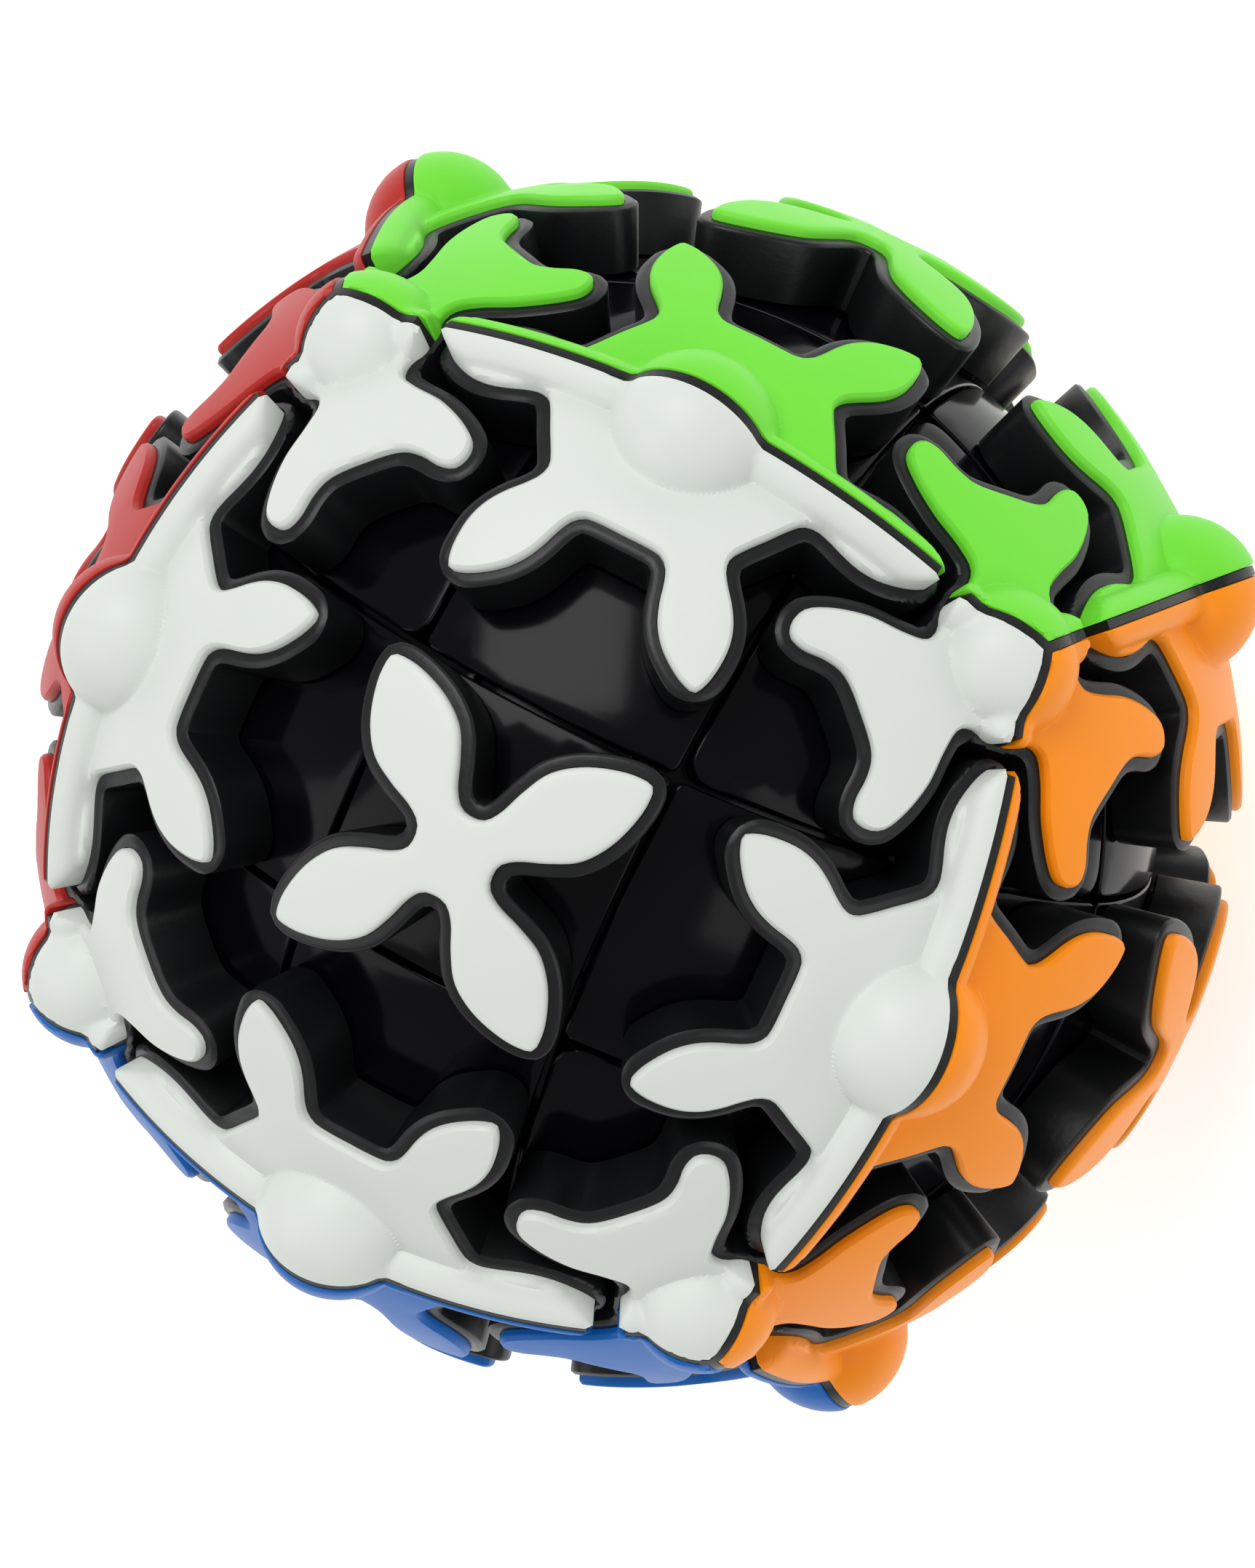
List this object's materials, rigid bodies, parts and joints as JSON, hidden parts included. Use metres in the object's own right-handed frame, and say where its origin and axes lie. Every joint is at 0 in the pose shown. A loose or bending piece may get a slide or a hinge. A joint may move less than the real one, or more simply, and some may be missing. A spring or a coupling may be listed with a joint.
{
  "type": "geared ball puzzle",
  "caption": "Round twisting puzzle whose layers are locked together by toothed edge gears, so turning one outer layer drives the opposite one backwards.",
  "frame": {"origin": "middle of the ball, where the three turning axes cross", "axes": "+Z out of the white side, +Y out of the green side, +X out of the orange side"},
  "size_m": [0.072, 0.072, 0.072],
  "materials": {
    "white_plastic": "satin moulded ABS, very slightly green white",
    "green_plastic": "satin moulded ABS, lime green",
    "orange_plastic": "satin moulded ABS, orange",
    "red_plastic": "satin moulded ABS, red",
    "blue_plastic": "satin moulded ABS, blue",
    "yellow_plastic": "satin moulded ABS, yellow",
    "frame_plastic": "black moulded ABS, satin rims and glossy floors",
    "floor_plastic": "glossy black moulded ABS",
    "core_plastic": "dark nylon",
    "steel": "zinc plated screw",
    "spring_steel": "spring wire"
  },
  "bodies": {
    "slice": {"blue_centre": "frame_plastic", "blue_centre_tile": "blue_plastic", "centre_screws": "steel", "centre_springs": "spring_steel", "core": "core_plastic", "green_centre": "frame_plastic", "green_centre_tile": "green_plastic", "orange_centre": "frame_plastic", "orange_centre_tile": "orange_plastic", "red_centre": "frame_plastic", "red_centre_tile": "red_plastic", "slice_edge_feet": "floor_plastic"},
    "upper_layer": {"upper_blue_tiles": "blue_plastic", "upper_edge_feet": "floor_plastic", "upper_gear_screws": "steel", "upper_green_tiles": "green_plastic", "upper_orange_tiles": "orange_plastic", "upper_red_tiles": "red_plastic", "upper_white_tiles": "white_plastic", "white_blue_gear": "frame_plastic", "white_blue_red_corner": "frame_plastic", "white_centre": "frame_plastic", "white_green_gear": "frame_plastic", "white_green_orange_corner": "frame_plastic", "white_orange_blue_corner": "frame_plastic", "white_orange_gear": "frame_plastic", "white_red_gear": "frame_plastic", "white_red_green_corner": "frame_plastic"},
    "lower_layer": {"lower_blue_tiles": "blue_plastic", "lower_edge_feet": "floor_plastic", "lower_gear_screws": "steel", "lower_green_tiles": "green_plastic", "lower_orange_tiles": "orange_plastic", "lower_red_tiles": "red_plastic", "lower_yellow_tiles": "yellow_plastic", "yellow_blue_gear": "frame_plastic", "yellow_blue_orange_corner": "frame_plastic", "yellow_centre": "frame_plastic", "yellow_green_gear": "frame_plastic", "yellow_green_red_corner": "frame_plastic", "yellow_orange_gear": "frame_plastic", "yellow_orange_green_corner": "frame_plastic", "yellow_red_blue_corner": "frame_plastic", "yellow_red_gear": "frame_plastic"},
    "blue_orange_gear_body": {"blue_orange_gear": "frame_plastic", "blue_orange_gear_blue_tile": "blue_plastic", "blue_orange_gear_orange_tile": "orange_plastic", "blue_orange_gear_screw": "steel"},
    "blue_red_gear_body": {"blue_red_gear": "frame_plastic", "blue_red_gear_blue_tile": "blue_plastic", "blue_red_gear_red_tile": "red_plastic", "blue_red_gear_screw": "steel"},
    "green_orange_gear_body": {"green_orange_gear": "frame_plastic", "green_orange_gear_green_tile": "green_plastic", "green_orange_gear_orange_tile": "orange_plastic", "green_orange_gear_screw": "steel"},
    "green_red_gear_body": {"green_red_gear": "frame_plastic", "green_red_gear_green_tile": "green_plastic", "green_red_gear_red_tile": "red_plastic", "green_red_gear_screw": "steel"}
  },
  "joints": [
    {"name": "upper_layer_turn", "type": "hinge", "parent": "slice", "child": "upper_layer", "pos_m": [0, 0, 0], "axis": [0, 0, 1], "continuous": true},
    {"name": "lower_layer_turn", "type": "hinge", "parent": "slice", "child": "lower_layer", "pos_m": [0, 0, 0], "axis": [0, 0, 1], "continuous": true},
    {"name": "blue_orange_gear_spin", "type": "hinge", "parent": "slice", "child": "blue_orange_gear_body", "pos_m": [0, 0, 0], "axis": [0.7071, -0.7071, 0], "continuous": true},
    {"name": "blue_red_gear_spin", "type": "hinge", "parent": "slice", "child": "blue_red_gear_body", "pos_m": [0, 0, 0], "axis": [-0.7071, -0.7071, 0], "continuous": true},
    {"name": "green_orange_gear_spin", "type": "hinge", "parent": "slice", "child": "green_orange_gear_body", "pos_m": [0, 0, 0], "axis": [0.7071, 0.7071, 0], "continuous": true},
    {"name": "green_red_gear_spin", "type": "hinge", "parent": "slice", "child": "green_red_gear_body", "pos_m": [0, 0, 0], "axis": [-0.7071, 0.7071, 0], "continuous": true}
  ],
  "couplings": [
    {"joint": "lower_layer_turn", "follows": "upper_layer_turn", "ratio": -1},
    {"joint": "blue_orange_gear_spin", "follows": "upper_layer_turn", "ratio": -2.6667},
    {"joint": "blue_red_gear_spin", "follows": "upper_layer_turn", "ratio": -2.6667},
    {"joint": "green_orange_gear_spin", "follows": "upper_layer_turn", "ratio": -2.6667},
    {"joint": "green_red_gear_spin", "follows": "upper_layer_turn", "ratio": -2.6667}
  ]
}
